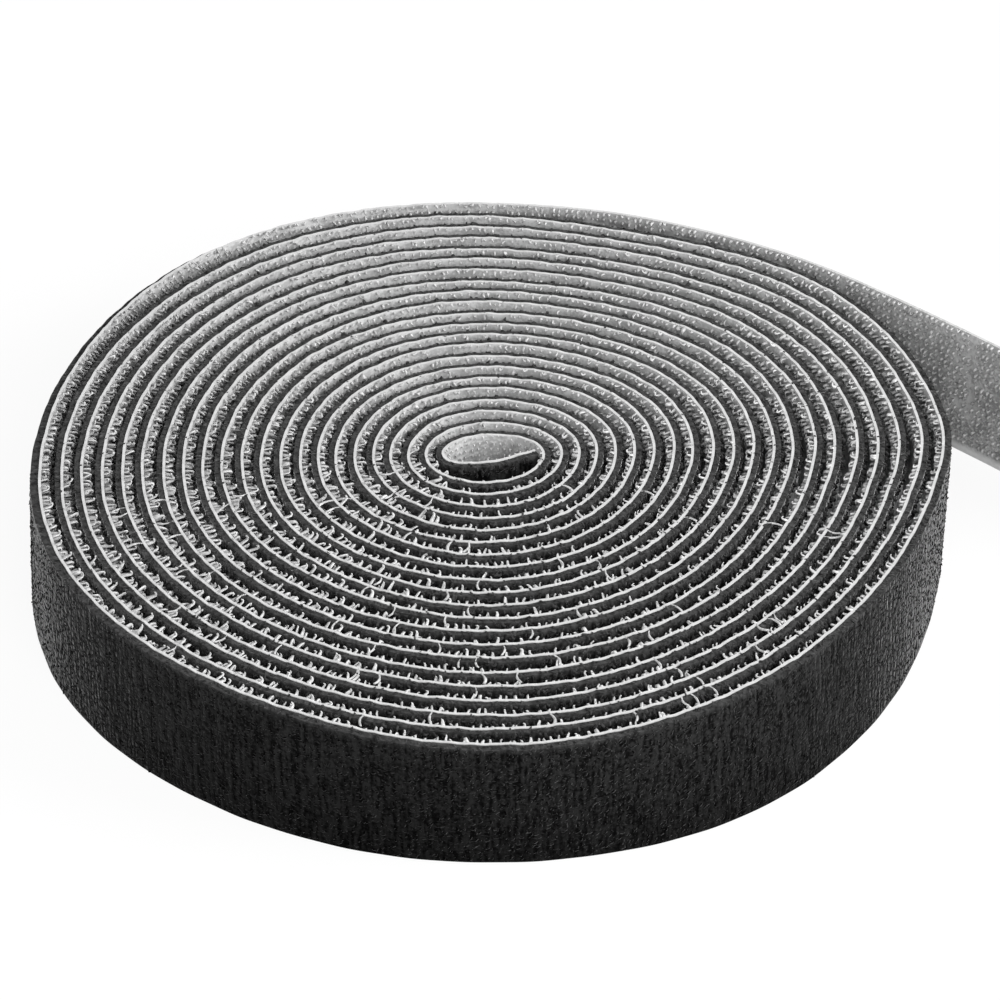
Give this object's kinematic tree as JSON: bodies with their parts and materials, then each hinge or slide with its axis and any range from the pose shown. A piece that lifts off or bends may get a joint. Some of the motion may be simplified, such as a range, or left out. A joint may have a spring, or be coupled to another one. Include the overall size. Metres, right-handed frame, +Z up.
{
  "type": "hook and loop tape roll",
  "caption": "Coreless roll of back-to-back hook and loop tape standing on its edge, with a free outer end that peels off the roll and bends.",
  "frame": {"origin": "middle of the base of the whole tape's box, on the surface that the roll lies on", "axes": "+Z up along the roll's axis, +X towards the free end, +Y towards the side where the free end leaves the roll"},
  "size_m": [0.1446, 0.1148, 0.019],
  "materials": {
    "hook_film": "moulded nylon hook film, translucent grey, satin",
    "loop_fabric": "black knitted loop pile, matt and fuzzy"
  },
  "bodies": {
    "roll": {"roll_hook_film": "hook_film", "roll_loop_fabric": "loop_fabric"},
    "tail_1": {"tail_1_hook_film": "hook_film", "tail_1_loop_fabric": "loop_fabric"},
    "tail_2": {"tail_2_hook_film": "hook_film", "tail_2_loop_fabric": "loop_fabric"},
    "tail_3": {"tail_3_hook_film": "hook_film", "tail_3_loop_fabric": "loop_fabric"},
    "tail_4": {"tail_4_hook_film": "hook_film", "tail_4_loop_fabric": "loop_fabric"}
  },
  "joints": [
    {"name": "tail_peel", "type": "hinge", "parent": "roll", "child": "tail_1", "pos_m": [0.00401, 0.05326, 0], "axis": [0, 0, 1], "range_deg": [0, 80], "stiffness_Nm_per_rad": 0.001},
    {"name": "tail_bend_1", "type": "hinge", "parent": "tail_1", "child": "tail_2", "pos_m": [0.02305, 0.04396, 0], "axis": [0, 0, 1], "range_deg": [-11, 45], "stiffness_Nm_per_rad": 0.001},
    {"name": "tail_bend_2", "type": "hinge", "parent": "tail_2", "child": "tail_3", "pos_m": [0.03956, 0.03061, 0], "axis": [0, 0, 1], "range_deg": [-18, 45], "stiffness_Nm_per_rad": 0.001},
    {"name": "tail_bend_3", "type": "hinge", "parent": "tail_3", "child": "tail_4", "pos_m": [0.05556, 0.01663, 0], "axis": [0, 0, 1], "range_deg": [-18, 45], "stiffness_Nm_per_rad": 0.001}
  ]
}
